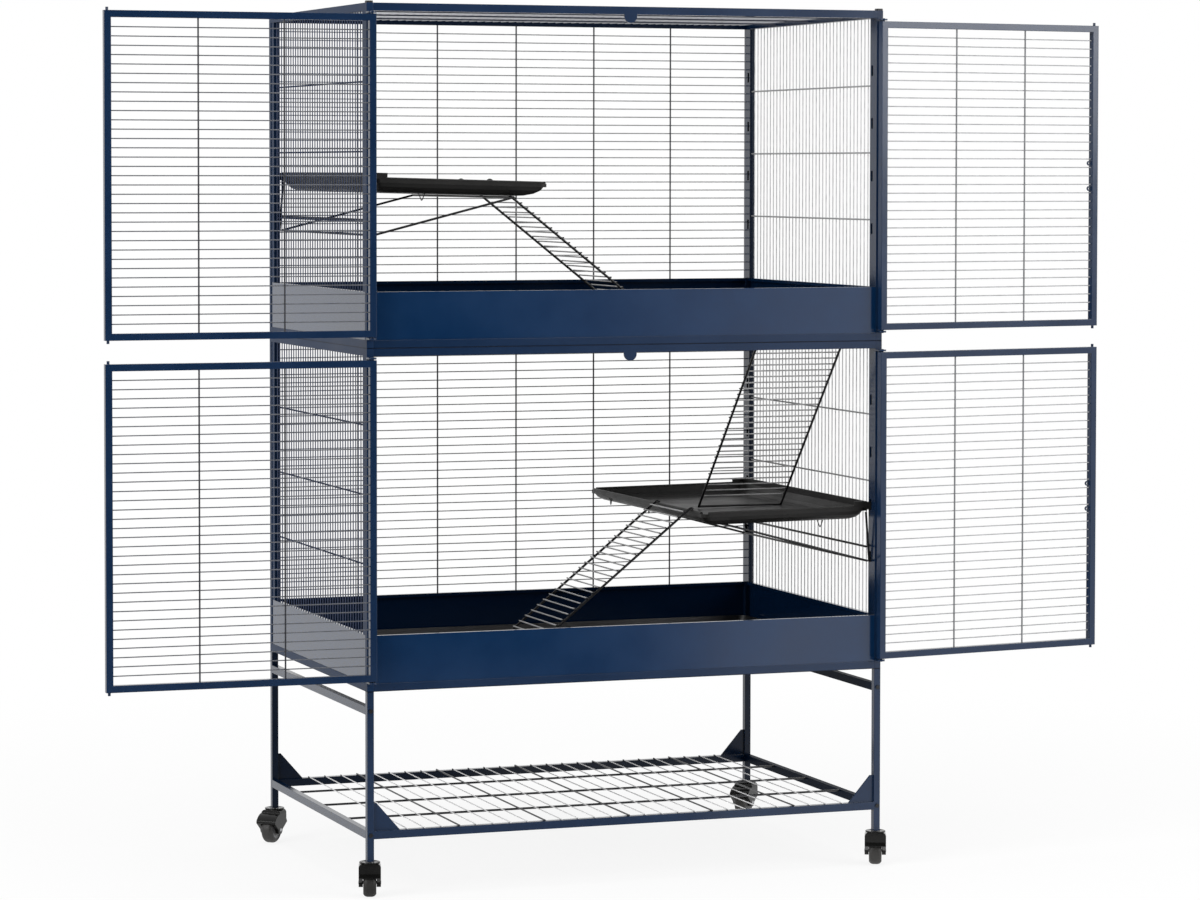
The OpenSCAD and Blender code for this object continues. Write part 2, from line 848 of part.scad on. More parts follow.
// Level wires between the stiles, with two upright cross wires on their inner side
module door_grille(level, side) {
    x0 = door_tube / 2;
    x1 = door_w - door_tube;
    cross_y = (thin_d + cross_d) / 2 + weld_gap;
    color(wire_grey)
        at_door(level, side) {
            for (i = [1 : door_rows - 1])
                wire([x0, 0, door_tube + i * door_pitch], [x1, 0, door_tube + i * door_pitch], thin_d);
            for (i = [1, 2])
                translate([x0 + i * (x1 - x0) / 3, cross_y, door_tube])
                    cylinder(d = cross_d, h = door_inner_h);
        }
}

module lower_left_door() { left_door(0); }
module upper_left_door() { left_door(1); }
module lower_right_door() { right_door(0); }
module upper_right_door() { right_door(1); }
module lower_left_door_grille() { door_grille(0, -1); }
module upper_left_door_grille() { door_grille(1, -1); }
module lower_right_door_grille() { door_grille(0, 1); }
module upper_right_door_grille() { door_grille(1, 1); }

// A wire bail on the free stile: two arms that turn in the knuckles, joined by an
// upright at their ends, where each arm has a hook for an eye of the other door
module latch(level) {
    half = latch_span / 2;
    pivot_in = knuckle_h + latch_r + 2;
    color(steel)
        at_door(level, -1)
            translate([latch_x, -latch_y, door_h / 2]) rotate([0, 0, -latch_turn]) {
                for (side = [-1, 1]) {
                    wire([0, 0, side * (half - pivot_in)], [0, 0, side * half], latch_d);
                    bend([0, 0, side * half], latch_d);
                    wire([0, 0, side * half], [0, -latch_reach, side * half], latch_d);
                    bend([0, -latch_reach, side * half], latch_d);
                    wire([0, -latch_reach, side * half], [latch_hook, -latch_reach, side * half],
                        latch_d);
                }
                wire([0, -latch_reach, -half], [0, -latch_reach, half], latch_d);
            }
}

module lower_latch() { latch(0); }
module upper_latch() { latch(1); }

// ---- Shelves ----

// The space of a shelf's tub, moved in by the given distance: its sides come down from
// the rim behind the skirt and curve in to a flat floor
module shelf_tub(inside) {
    steps = 4;
    set_in = skirt_t + plastic_t;
    curve = shelf_rim - inside - skirt_h;
    hull() {
        tub_level(inside, inside, inside, inside > 0 ? 1 : -bead_r - 1);
        for (i = [0 : steps]) {
            run = 1 - cos(90 * i / steps);
            tub_level(inside + set_in + free_slope * run, inside + set_in + end_slope * run,
                inside + set_in + wall_slope * run, -skirt_h - curve * sin(90 * i / steps));
        }
    }
}

// A thin level of the tub, set in from the free edge, from both ends and from the wall
module tub_level(free, ends, wall, z) {
    translate([(free + shelf_w - wall) / 2, 0, z])
        rounded_plate(shelf_w - free - wall, shelf_d - 2 * ends, eps, 12);
}

// Moulded shelf, drawn from its free edge at x = 0 to the wall, its rim's top at z = 0
module shelf_body() {
    top = -bead_r - 1;
    difference() {
        shelf_tub(0);
        shelf_tub(plastic_t);
    }
    difference() {
        translate([shelf_w / 2, 0, -skirt_h]) rounded_plate(shelf_w, shelf_d, skirt_h + top, 12);
        translate([shelf_w / 2, 0, -skirt_h - 1])
            rounded_plate(shelf_w - 2 * skirt_t, shelf_d - 2 * skirt_t, skirt_h, 12 - skirt_t);
    }
}

// Beads along the free edges, which stiffen the rim and carry a ladder's hooks
module shelf_beads() {
    edge = shelf_d / 2 - bead_r;
    corner = 12;
    wire([bead_r, -edge + corner, -bead_r], [bead_r, edge - corner, -bead_r], 2 * bead_r);
    for (side = [-1, 1])
        wire([corner, side * edge, -bead_r], [shelf_w - bead_r, side * edge, -bead_r], 2 * bead_r);
}

// The upright lip along the wall, which runs on a little way round both corners
module shelf_lip_wall() {
    span([shelf_w - plastic_t, -shelf_d / 2, -skirt_h], [shelf_w, shelf_d / 2, shelf_lip]);
    for (side = [0, 1])
        mirror([0, side, 0])
            span([shelf_w - lip_return, -shelf_d / 2, -bead_r],
                [shelf_w, plastic_t - shelf_d / 2, shelf_lip]);
}

// Ears at both ends of the lip, which rest in the slots
module shelf_ears() {
    slot_foot = slot_z(shelf_slot) - slot_h / 2 - shelf_rim_z;
    reach = wall_gap + hook_out;
    ear_y = cage_d / 2 - slot_y;
    for (side = [-1, 1])
        translate([-plastic_t, side * ear_y - ear_w / 2, slot_foot + seat_gap])
            cube([plastic_t + reach, ear_w, shelf_lip - 1 - slot_foot - seat_gap]);
}

module shelf(level, side) {
    color(black_plastic)
        at_unit(level, side)
            translate([shelf_wall_x, y_mid, shelf_rim_z]) {
                rotate([0, -shelf_tilt(level), 0]) translate([-shelf_w, 0, 0]) {
                    shelf_body();
                    shelf_beads();
                    shelf_lip_wall();
                }
                shelf_ears();
            }
}

module lower_shelf() { shelf(0, 1); }
module upper_shelf() { shelf(1, -1); }

// Wire bracket under a shelf: a leaning leg along each post with a peg in a slot, a bent
// wire with two struts that carries the floor, and two cross wires along the wall
module bracket(level, side) {
    y0 = y_front + slot_y;
    y1 = y_back - slot_y;
    top_x = shelf_wall_x - bracket_r;
    strut_z = strut_top_z(level);
    bend_end = bracket_r + bend_swell / 2 + weld_gap;
    inner_x = bracket_foot_x - bracket_r - bend_swell - bend_end;
    lean = atan2(bracket_foot_x - top_x, bracket_top_z - bracket_foot_z);
    bar_x = bracket_foot_x - bracket_bar_h * tan(lean) - (bracket_d + weld_gap) / cos(lean);
    bar_z = bracket_foot_z + bracket_bar_h;
    color(wire_grey)
        at_unit(level, side) {
            for (y = [y0, y1]) {
                wire([bracket_foot_x, y, bracket_foot_z], [top_x, y, bracket_top_z], bracket_d);
                wire([bracket_foot_x + eps, y, bracket_foot_z], [x_in + hook_out, y, bracket_foot_z],
                    bracket_d);
                bend([bracket_foot_x, y, bracket_foot_z], bracket_d + bend_swell);
                wire([inner_x, y, bracket_foot_z], [strut_x, y, strut_z], bracket_d);
                bend([inner_x, y, bracket_foot_z], bracket_d);
                bend([strut_x, y, strut_z], bracket_d);
            }
            wire([strut_x, y0, strut_z], [strut_x, y1, strut_z], bracket_d);
            wire([inner_x, y0 + bend_end, bracket_foot_z], [inner_x, y1 - bend_end, bracket_foot_z],
                bracket_d);
            wire([bar_x, y0, bar_z], [bar_x, y1, bar_z], bracket_d);
        }
}

module lower_shelf_bracket() { bracket(0, 1); }
module upper_shelf_bracket() { bracket(1, -1); }

// ---- Ladders ----

// A ladder whose hooks turn round the origin, its rails running along +X
module ladder() {
    rung_z = hook_r + rail_r + rung_d / 2 + weld_gap;
    count = floor((ladder_len - 12) / rung_pitch);
    half = ladder_w / 2;
    for (side = [-1, 1]) {
        translate([0, side * half, 0]) rotate([90, 0, 0]) rotate([0, 0, 90])
            rotate_extrude(angle = hook_wrap) translate([hook_r, 0]) circle(r = rail_r);
        wire([0, side * half, hook_r], [ladder_len, side * half, hook_r], ladder_rail_d);
        bend([0, side * half, hook_r], ladder_rail_d);
        bend([ladder_len, side * half, hook_r], ladder_rail_d);
    }
    wire([ladder_len, -half, hook_r], [ladder_len, half, hook_r], ladder_rail_d);
    for (i = [0 : count - 1])
        wire([12 + i * rung_pitch, -half - rail_r, rung_z], [12 + i * rung_pitch, half + rail_r, rung_z],
            rung_d);
}

// From the lower shelf's free edge down to the left
module lower_ladder() {
    color(black_plastic)
        translate([shelf_bead_x(0), y_mid - lower_ladder_shift, stand_top + shelf_bead_z(0)])
            rotate([0, 0, 180]) rotate([0, ladder_tilt(shelf_ladder_drop(0)), 0]) ladder();
}

// From the upper shelf's free edge down to the right
module upper_ladder() {
    color(black_plastic)
        translate([-shelf_bead_x(1), y_mid + upper_ladder_shift, upper_z + shelf_bead_z(1)])
            rotate([0, ladder_tilt(shelf_ladder_drop(1)), 0]) ladder();
}

// From the passage's front edge back and down to the lower shelf
module passage_ladder() {
    color(black_plastic)
        translate([passage_x, passage_bead_y, upper_z + collar_bead_z])
            rotate([0, 0, 90]) rotate([0, ladder_tilt(passage_ladder_drop), 0]) ladder();
}

stand_front_frame();
stand_rear_frame();
stand_left_rails();
stand_right_rails();
stand_bolts();
storage_grid();
caster_stems();
caster_front_left_fork();
caster_front_right_fork();
caster_rear_left_fork();
caster_rear_right_fork();
caster_front_left_axle();
caster_front_right_axle();
caster_rear_left_axle();
caster_rear_right_axle();
caster_front_left_wheel();
caster_front_right_wheel();
caster_rear_left_wheel();
caster_rear_right_wheel();
lower_left_side();
lower_right_side();
lower_front_rails();
lower_back_rails();
lower_left_grille();
lower_right_grille();
lower_back_grille();
lower_guards();
lower_tray();
upper_left_side();
upper_right_side();
upper_front_rails();
upper_back_rails();
upper_left_grille();
upper_right_grille();
upper_back_grille();
upper_guards();
upper_tray();
roof_grille();
post_caps();
hinge_lugs();
lower_left_door();
lower_right_door();
upper_left_door();
upper_right_door();
lower_left_door_grille();
lower_right_door_grille();
upper_left_door_grille();
upper_right_door_grille();
lower_latch();
upper_latch();
lower_shelf();
upper_shelf();
lower_shelf_bracket();
upper_shelf_bracket();
lower_ladder();
upper_ladder();
passage_ladder();
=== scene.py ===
# %% [markdown]
# # A two-storey ferret cage
# The cage comes in as a fixed frame: welded tubes, wire walls, trays, shelves,
# ladders, doors and casters, all at their real size in metres. This lesson leaves
# those shapes alone. It gives each of them a finish, adds some small trim, and sets
# up a plain studio round it.

# %% Load the frame
import json
import math

import bmesh
import bpy
import numpy as np
from mathutils import Matrix, Vector


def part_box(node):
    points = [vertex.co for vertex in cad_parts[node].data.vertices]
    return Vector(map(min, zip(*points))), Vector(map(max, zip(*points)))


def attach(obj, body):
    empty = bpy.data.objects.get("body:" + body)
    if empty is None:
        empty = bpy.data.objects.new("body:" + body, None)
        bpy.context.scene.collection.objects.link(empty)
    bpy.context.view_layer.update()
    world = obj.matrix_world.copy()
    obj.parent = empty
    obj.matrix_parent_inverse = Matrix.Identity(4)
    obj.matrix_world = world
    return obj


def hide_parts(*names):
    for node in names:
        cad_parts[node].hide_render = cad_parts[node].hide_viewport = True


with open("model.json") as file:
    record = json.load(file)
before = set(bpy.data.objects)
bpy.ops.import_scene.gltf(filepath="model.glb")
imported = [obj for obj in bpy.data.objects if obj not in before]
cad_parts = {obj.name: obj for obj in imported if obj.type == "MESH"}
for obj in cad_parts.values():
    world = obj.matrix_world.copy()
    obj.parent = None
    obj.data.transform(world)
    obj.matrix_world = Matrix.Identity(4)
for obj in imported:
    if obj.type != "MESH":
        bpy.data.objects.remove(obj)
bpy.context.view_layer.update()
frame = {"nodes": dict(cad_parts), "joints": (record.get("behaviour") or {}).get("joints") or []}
nodes = frame["nodes"]
print("nodes:", len(nodes))

# %% [markdown]
# ## The camera
# The photograph was taken with a long lens from the front left, a little above the
# doors' middle. The lens is shifted, as on a view camera, so that the uprights stay
# almost parallel. A camera could be tilted further instead, but a shift keeps the
# picture plane nearly upright, and it is one number per axis.

# %% Place the camera
CAMERA_PLACE = (-2.4745, -6.8023, 1.2741)
TURN, TILT_DOWN, ROLL = -19.79, 2.30, 0.05  # degrees
camera_data = bpy.data.cameras.new("camera")
camera_data.sensor_width = 36.0
camera_data.lens = 117.29
camera_data.shift_x = 0.03445
camera_data.shift_y = -0.1029
camera_data.clip_end = 60.0
camera = bpy.data.objects.new("camera", camera_data)
bpy.context.scene.collection.objects.link(camera)
turn = Matrix.Rotation(math.radians(TURN), 4, "Z")
tilt = Matrix.Rotation(math.radians(90 - TILT_DOWN), 4, "X")
roll = Matrix.Rotation(math.radians(ROLL), 4, "Z")
camera.matrix_world = Matrix.Translation(CAMERA_PLACE) @ turn @ tilt @ roll
bpy.context.scene.camera = camera
print("camera at", CAMERA_PLACE)

# %% [markdown]
# ## The studio
# A white room with no corners. The floor still takes the cage's shadow, and fades to
# plain white further out, so that no horizon shows. A real studio isn't equally bright
# all round: here the front left is shaded by a black card, so flat paint looks deep
# there and pale towards the right, where it mirrors the white wall. The card is a
# function of direction only, so it stays where it is when the camera moves. Real
# planes could do the same, but they would turn up in the other views.

# %% Helpers for node trees
def new_material(name):
    """A material with nodes: itself, its tree and its Principled shader."""
    material = bpy.data.materials.new(name)
    material.use_nodes = True
    tree = material.node_tree
    return material, tree, tree.nodes["Principled BSDF"]


def add_node(tree, kind, **values):
    """A node of one kind, with its properties and its unlinked inputs set."""
    node = tree.nodes.new(kind)
    for key, value in values.items():
        if hasattr(node, key):
            setattr(node, key, value)
        else:
            node.inputs[key.replace("_", " ")].default_value = value
    return node


def calculate(tree, operation, *values):
    """One Math node. Each value is a number or the output of another node."""
    node = add_node(tree, "ShaderNodeMath", operation=operation)
    for socket, value in zip(node.inputs, values):
        if isinstance(value, (int, float)):
            socket.default_value = value
        else:
            tree.links.new(value, socket)
    return node.outputs[0]


def spread(tree, value, low, high, out_low, out_high, smooth=False):
    """Maps the range low to high of a value on to out_low to out_high."""
    node = add_node(tree, "ShaderNodeMapRange", From_Min=low, From_Max=high,
                    To_Min=out_low, To_Max=out_high)
    if smooth:
        node.interpolation_type = "SMOOTHSTEP"
    tree.links.new(value, node.inputs["Value"])
    return node.outputs["Result"]


def axis_parts(tree, where):
    """The X, Y and Z of a place or a direction, as named outputs."""
    parts = add_node(tree, "ShaderNodeSeparateXYZ")
    tree.links.new(where, parts.inputs[0])
    return parts.outputs


def object_place(tree):
    """Where a point of the surface lies on the object, in metres."""
    return add_node(tree, "ShaderNodeTexCoord").outputs["Object"]


# %% The black card and the rays that see the room
CARD_RIGHT = (0.31, 0.43)
CARD_BACK = (-0.25, 0.20)


def black_card(tree, where):
    """The white of the room in a direction: low at the front left, 1 elsewhere. The
    direction is cut to length 1, and the card ends softly where its rightward part
    or its backward part passes the range above."""
    unit = add_node(tree, "ShaderNodeVectorMath", operation="NORMALIZE")
    tree.links.new(where, unit.inputs[0])
    parts = axis_parts(tree, unit.outputs[0])
    right = spread(tree, parts["X"], *CARD_RIGHT, 0.0, 1.0, smooth=True)
    back = spread(tree, parts["Y"], *CARD_BACK, 0.0, 1.0, smooth=True)
    return calculate(tree, "MAXIMUM", right, back)


def seen_rays(tree, ray):
    """1 for a ray from the camera, also through something clear, and 0 otherwise."""
    return calculate(tree, "MAXIMUM", ray.outputs["Is Camera Ray"],
                     ray.outputs["Is Transmission Ray"])


# %% World
LIT_BY_ROOM = 0.46
world = bpy.data.worlds.new("white room")
world.use_nodes = True
bpy.context.scene.world = world
room = world.node_tree
sky = room.nodes["Background"]
sky.inputs["Color"].default_value = (1.0, 1.0, 1.0, 1.0)
ray = add_node(room, "ShaderNodeLightPath")
glossy = ray.outputs["Is Glossy Ray"]
direction = add_node(room, "ShaderNodeTexCoord").outputs["Generated"]
mirrored = calculate(room, "MULTIPLY", black_card(room, direction), glossy)
seen = seen_rays(room, ray)
neither = calculate(room, "SUBTRACT", 1.0, calculate(room, "MAXIMUM", seen, glossy))
lighting = calculate(room, "MULTIPLY", neither, LIT_BY_ROOM)
white = calculate(room, "MAXIMUM", seen, mirrored)
room.links.new(calculate(room, "ADD", white, lighting), sky.inputs["Strength"])
print("the room lights the cage at", LIT_BY_ROOM)

# %% Floor
FLOOR_REACH = 40.0
FADE_RANGE = (0.9, 2.6)  # metres from the middle, from grey to plain white
FADE_FROM = 0.86
GLOW_RANGE = (1.4, 4.0)  # metres from the middle, over which the glow below ends
GLOW_LEAST = 0.42  # what a glossy ray finds at least on the floor near the cage

corners = [(-1, -1), (1, -1), (1, 1), (-1, 1)]
floor_mesh = bpy.data.meshes.new("studio_floor")
floor_mesh.from_pydata([(FLOOR_REACH * x, FLOOR_REACH * y, 0) for x, y in corners],
                       [], [(0, 1, 2, 3)])
floor = bpy.data.objects.new("studio_floor", floor_mesh)
bpy.context.scene.collection.objects.link(floor)
floor_paint, tree, shader = new_material("floor paint")
floor_mesh.materials.append(floor_paint)
shader.inputs["Base Color"].default_value = (0.93, 0.93, 0.93, 1.0)
shader.inputs["Roughness"].default_value = 0.9
shader.inputs["Specular IOR Level"].default_value = 0.0
print("floor:", 2 * FLOOR_REACH, "m wide")

# %% The floor's glow
where = object_place(tree)
length = add_node(tree, "ShaderNodeVectorMath", operation="LENGTH")
tree.links.new(where, length.inputs[0])
distance = length.outputs["Value"]
whiteness = spread(tree, distance, *FADE_RANGE, FADE_FROM, 1.0, smooth=True)
nearby = spread(tree, distance, *GLOW_RANGE, GLOW_LEAST, 0.0, smooth=True)
ray = add_node(tree, "ShaderNodeLightPath")
seen = seen_rays(tree, ray)
share = calculate(tree, "MAXIMUM", calculate(tree, "MULTIPLY", seen, whiteness),
                  ray.outputs["Is Glossy Ray"])
mirrored = calculate(tree, "MAXIMUM", black_card(tree, where), nearby)
glow = add_node(tree, "ShaderNodeEmission", Color=(1, 1, 1, 1))
tree.links.new(calculate(tree, "MAXIMUM", seen, mirrored), glow.inputs["Strength"])
blend = add_node(tree, "ShaderNodeMixShader")
tree.links.new(share, blend.inputs["Fac"])
tree.links.new(shader.outputs[0], blend.inputs[1])
tree.links.new(glow.outputs[0], blend.inputs[2])
tree.links.new(blend.outputs[0], tree.nodes["Material Output"].inputs["Surface"])
print("the floor is white from", FADE_RANGE[1], "m out")

# %% Lamps
LAMP_AIM = Vector((0.0, 0.0, 0.8))
LAMP_SIZE = 3.0


def soft_lamp(name, place, power):
    """A square area lamp at a place, turned so that it shines at the cage's middle."""
    data = bpy.data.lights.new(name, "AREA")
    data.size = LAMP_SIZE
    data.energy = power
    lamp = bpy.data.objects.new(name, data)
    bpy.context.scene.collection.objects.link(lamp)
    lamp.location = place
    lamp.rotation_euler = (LAMP_AIM - Vector(place)).to_track_quat("-Z", "Y").to_euler()


soft_lamp("left lamp", (-5.5, -2.4, 3.0), 210)
soft_lamp("right lamp", (4.0, -4.2, 2.8), 130)
soft_lamp("top lamp", (0.0, -0.5, 4.6), 80)

# %% [markdown]
# ## Powder coat
# Powder coat is baked plastic paint. Close up it has an orange-peel skin with bumps
# of about a millimetre, it is thinner and a little paler here and there, and its
# gloss varies with it. Noise in object space drives the colour, the roughness and a
# shallow bump. The frame's tubes are drawn with sharp edges, where real tube is
# rounded to about a millimetre: the Bevel node rounds them for the light alone,
# which costs far less than bevelled meshes and leaves every size as it is.

# %% Colour and skin
def noise(tree, where, scale, detail, roughness):
    """Noise in object space: scale is its lumps per metre."""
    node = add_node(tree, "ShaderNodeTexNoise", Scale=scale, Detail=detail,
                    Roughness=roughness)
    tree.links.new(where, node.inputs["Vector"])
    return node.outputs["Fac"]


def two_tone(tree, factor, first, second):
    """A colour that runs from the first to the second with the factor. Each colour is
    three numbers or the output of another node."""
    node = add_node(tree, "ShaderNodeMix", data_type="RGBA")
    tree.links.new(factor, node.inputs["Factor"])
    pair = [socket for socket in node.inputs if socket.type == "RGBA"]
    for socket, colour in zip(pair, (first, second)):
        if isinstance(colour, tuple):
            socket.default_value = (*colour, 1.0)
        else:
            tree.links.new(colour, socket)
    return next(socket for socket in node.outputs if socket.type == "RGBA")


def darker(colour, share):
    """A share of each of a colour's three numbers."""
    return tuple(share * part for part in colour)


def skin(tree, shader, heights, depth, strength, edge=0.0):
    """A bump from a height value, depth metres deep, over edges rounded by edge."""
    node = add_node(tree, "ShaderNodeBump", Distance=depth, Strength=strength)
    tree.links.new(heights, node.inputs["Height"])
    if edge > 0:
        rounding = add_node(tree, "ShaderNodeBevel", samples=6, Radius=edge)
        tree.links.new(rounding.outputs[0], node.inputs["Normal"])
    tree.links.new(node.outputs["Normal"], shader.inputs["Normal"])


# %% Where painted shade darkens the paint
SEAM_HALF = 0.0009  # half the height of a seam


# Painted shade: this mask marks the faces inside the cage, where the cage's own parts shade
# them, for a darker and duller copy of the paint.
def facing_in(tree, where):
    """1 on faces that look to the cage's middle from the rear or the front, and 0 on
    those that look out or sideways: the product of a face's direction and its place,
    both taken from front to back, is negative on the first."""
    flat = add_node(tree, "ShaderNodeVectorMath", operation="MULTIPLY")
    tree.links.new(where, flat.inputs[0])
    flat.inputs[1].default_value = (0.0, 1.0, 0.0)
    outwards = add_node(tree, "ShaderNodeVectorMath", operation="DOT_PRODUCT")
    tree.links.new(flat.outputs[0], outwards.inputs[0])
    face = add_node(tree, "ShaderNodeNewGeometry").outputs["True Normal"]
    tree.links.new(face, outwards.inputs[1])
    return spread(tree, outwards.outputs["Value"], -0.05, 0.05, 1.0, 0.0)


def near_height(tree, where, heights, half):
    """1 within half a seam of any of the heights, and 0 elsewhere."""
    level = axis_parts(tree, where)["Z"]
    found = 0.0
    for height in heights:
        off = calculate(tree, "ABSOLUTE", calculate(tree, "SUBTRACT", level, height))
        seam = spread(tree, off, half, 1.4 * half, 1.0, 0.0)
        found = calculate(tree, "MAXIMUM", found, seam)
    return found


# %% Baked paint
SHADED_TONE = 0.4
SHADED_MIRROR = 0.45


def painted(name, pale, deep, gloss, mirror, peel_scale, peel_depth, edge=0.0, seams=()):
    """Baked paint: two close colours, gloss that varies, and an orange-peel skin. Faces that
    look in from the rear or the front are darker and duller, as are the seams: painted shade,
    where the cage shades itself and in each seam's groove."""
    material, tree, shader = new_material(name)
    where = object_place(tree)
    cloud = noise(tree, where, 9.0, 4.0, 0.55)
    peel = noise(tree, where, peel_scale, 2.0, 0.45)
    shade = facing_in(tree, where)
    if seams:
        near = near_height(tree, where, seams, SEAM_HALF)
        shade = calculate(tree, "MAXIMUM", shade, near)
    worn = spread(tree, cloud, 0.2, 0.8, 0.0, 1.0, smooth=True)
    paint = two_tone(tree, worn, deep, pale)
    # Painted shade: where shade is 1, the colour turns to the deep tone at SHADED_TONE and the
    # mirror falls to SHADED_MIRROR of itself.
    tree.links.new(two_tone(tree, shade, paint, darker(deep, SHADED_TONE)),
                   shader.inputs["Base Color"])
    tree.links.new(spread(tree, shade, 0.0, 1.0, mirror, SHADED_MIRROR * mirror),
                   shader.inputs["Specular IOR Level"])
    tree.links.new(spread(tree, cloud, 0.2, 0.8, gloss - 0.03, gloss + 0.04, smooth=True),
                   shader.inputs["Roughness"])
    skin(tree, shader, peel, peel_depth, 0.35, edge)
    return material


# %% [markdown]
# ## One paint in four coats
# The cage presumably has one blue paint. It looks duller on the left frames and darker on the
# right stand rails, and it mirrors more on the flat guards. That comes from the light of the
# real room, which isn't known, so four blue coats with one pattern and different tones imitate
# it. They are lit and shaded copies of one paint: the duller copy on the left frames and the
# darker copy on the right stand rails are painted shade. The seams are dark lines across the
# tubes a little below the guards: painted shade in the groove there.

# %% Coats of paint
NAVY = ((0.0038, 0.0260, 0.080), (0.0028, 0.0200, 0.064))
TUBE_NAVY = ((0.0072, 0.0235, 0.064), (0.0052, 0.0185, 0.052))
# Painted shade: the right stand rails get the blue at 0.35 of its strength.
SHADED_RAIL_NAVY = tuple(darker(tone, 0.35) for tone in NAVY)
BLACK = ((0.010, 0.010, 0.011), (0.006, 0.006, 0.007))
PEEL = 620.0  # lumps per metre
TUBE_EDGE = 0.0014
SEAM_DROP = 0.014  # from the guards' lowest point down to a seam
# Painted shade: at each seam height a narrow band takes the shaded copy of the paint, for the
# shade in the groove across the tubes.
SEAMS = tuple(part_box(guards)[0][2] - SEAM_DROP for guards in ("lower_guards", "upper_guards"))

navy_coat = painted("navy powder coat on tube", *TUBE_NAVY, 0.17, 0.46, PEEL, 0.00008,
                    edge=TUBE_EDGE, seams=SEAMS)
# Painted shade: a duller copy with less mirror stands in for the room's light on the left
# frames.
navy_dull_painted_shade = painted("navy with painted shade on the left frames", *NAVY, 0.45, 0.16, PEEL, 0.00008,
                    edge=TUBE_EDGE, seams=SEAMS)
# Painted shade: the darker copy for the right stand rails, with almost no mirror.
navy_shaded = painted("navy with painted shade on the right stand rails", *SHADED_RAIL_NAVY, 0.45, 0.03, PEEL, 0.00008,
                      edge=TUBE_EDGE)
navy_sheet = painted("navy powder coat on sheet", *NAVY, 0.12, 0.68, PEEL, 0.00006)
black_coat = painted("black rod coat", *BLACK, 0.36, 0.35, 900.0, 0.00006)
print("seams at", [round(height, 3) for height in SEAMS])

# %% [markdown]
# ## Wire
# The panels are of thin drawn wire with a few thicker wires across them, presumably all
# in one coat. In the photograph thin wire shines far paler than the tubes on most
# walls, and stays navy on the left ones. The lamps here don't give that glare to a
# wire less than a pixel wide, so it is imitated: each panel has two tones of its own,
# one for each kind of wire. One node holds both kinds, and the finish tells them apart
# by the side of the panel that they lie on: the thick ones are on the inner side.
# Material slots can't do it, because the mesh of a CAD node stays as it is.

# %% Wire coat
def wire_finish_and_glare(name, thick_parts, thin, thick, mirror=0.4):
    """Two greys, told apart by thick_parts, which adds to a node tree a value of 1 on
    thick wire and 0 on thin. Noise along the wire makes both uneven."""
    material, tree, shader = new_material(name)
    where = object_place(tree)
    cloud = spread(tree, noise(tree, where, 60.0, 3.0, 0.5), 0.3, 0.7, 0.0, 1.0)
    tones = [two_tone(tree, cloud, darker(tone, 0.7), tone) for tone in (thin, thick)]
    tree.links.new(two_tone(tree, thick_parts(tree, where), *tones),
                   shader.inputs["Base Color"])
    tree.links.new(spread(tree, cloud, 0.0, 1.0, 0.30, 0.42), shader.inputs["Roughness"])
    skin(tree, shader, noise(tree, where, 900.0, 2.0, 0.45), 0.00006, 0.3)
    shader.inputs["Specular IOR Level"].default_value = mirror
    return material


# %% Panel wires
THIN = 0.002  # a thin wire's diameter
HALF_STEP = 0.0001  # half the width over which one tone turns into the other
# Painted glare: the pale thin-wire tones, and the tones that differ from panel to panel, stand
# in for glare that the lamps don't give to wire this thin.
PANEL_TONES_WITH_GLARE = {"roof_grille": ((0.420, 0.430, 0.460), (0.015, 0.020, 0.040)),
         "left_grille": ((0.045, 0.060, 0.110), (0.020, 0.027, 0.052)),
         "left_door_grille": ((0.130, 0.136, 0.155), (0.030, 0.032, 0.040)),
         "back_grille": ((0.360, 0.365, 0.375), (0.060, 0.063, 0.070)),
         "right_grille": ((0.640, 0.640, 0.650), (0.300, 0.302, 0.310)),
         "right_door_grille": ((0.480, 0.485, 0.500), (0.200, 0.204, 0.215))}


def along(tree, where, way):
    """How far a place lies along a way: the sum of the products of their parts."""
    node = add_node(tree, "ShaderNodeVectorMath", operation="DOT_PRODUCT")
    tree.links.new(where, node.inputs[0])
    node.inputs[1].default_value = way
    return node.outputs["Value"]


def behind(facing, split):
    """Thick parts lie beyond a plane that faces the way given, at the distance split."""
    def thick_parts(tree, where):
        return spread(tree, along(tree, where, facing), split - HALF_STEP,
                      split + HALF_STEP, 0.0, 1.0)
    return thick_parts


def behind_door(grille):
    """Thick parts of an open door: the way into the cage is turned back by the angle
    that shuts the door, and the plane runs through the thin wires' inner side."""
    hinge_name = grille.replace("_grille", "_hinge")
    hinge = next(joint for joint in frame["joints"] if joint["name"] == hinge_name)
    shut = math.radians(max(hinge["range_deg"], key=abs))
    inward = Matrix.Rotation(-shut, 3, "Z") @ Vector((0.0, 1.0, 0.0))
    return behind(tuple(inward), inward.dot(Vector(hinge["pos_m"])) + THIN / 2)


def panel_coat_and_glare(name):
    """The wire coat of one panel: its thick wires lie on the inner side of the cage."""
    low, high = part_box(name)
    if name.endswith("_door_grille"):
        place = behind_door(name)
    elif name.endswith("back_grille"):
        place = behind((0.0, -1.0, 0.0), THIN - high[1])
    elif name == "roof_grille":
        place = behind((0.0, 0.0, -1.0), THIN - high[2])
    elif name.endswith("left_grille"):
        place = behind((1.0, 0.0, 0.0), low[0] + THIN)
    else:
        place = behind((-1.0, 0.0, 0.0), THIN - high[0])
    tones = PANEL_TONES_WITH_GLARE[name.removeprefix("lower_").removeprefix("upper_")]
    # The left panels mirror less, so they stay navy where the others turn pale with painted
    # glare.
    mirror = 0.1 if "left_grille" in name else 0.4
    return wire_finish_and_glare(name + " coat", place, *tones, mirror=mirror)


wire_coats_and_glare = {name: panel_coat_and_glare(name) for name in nodes if "grille" in name}
print("panel coats:", len(wire_coats_and_glare))

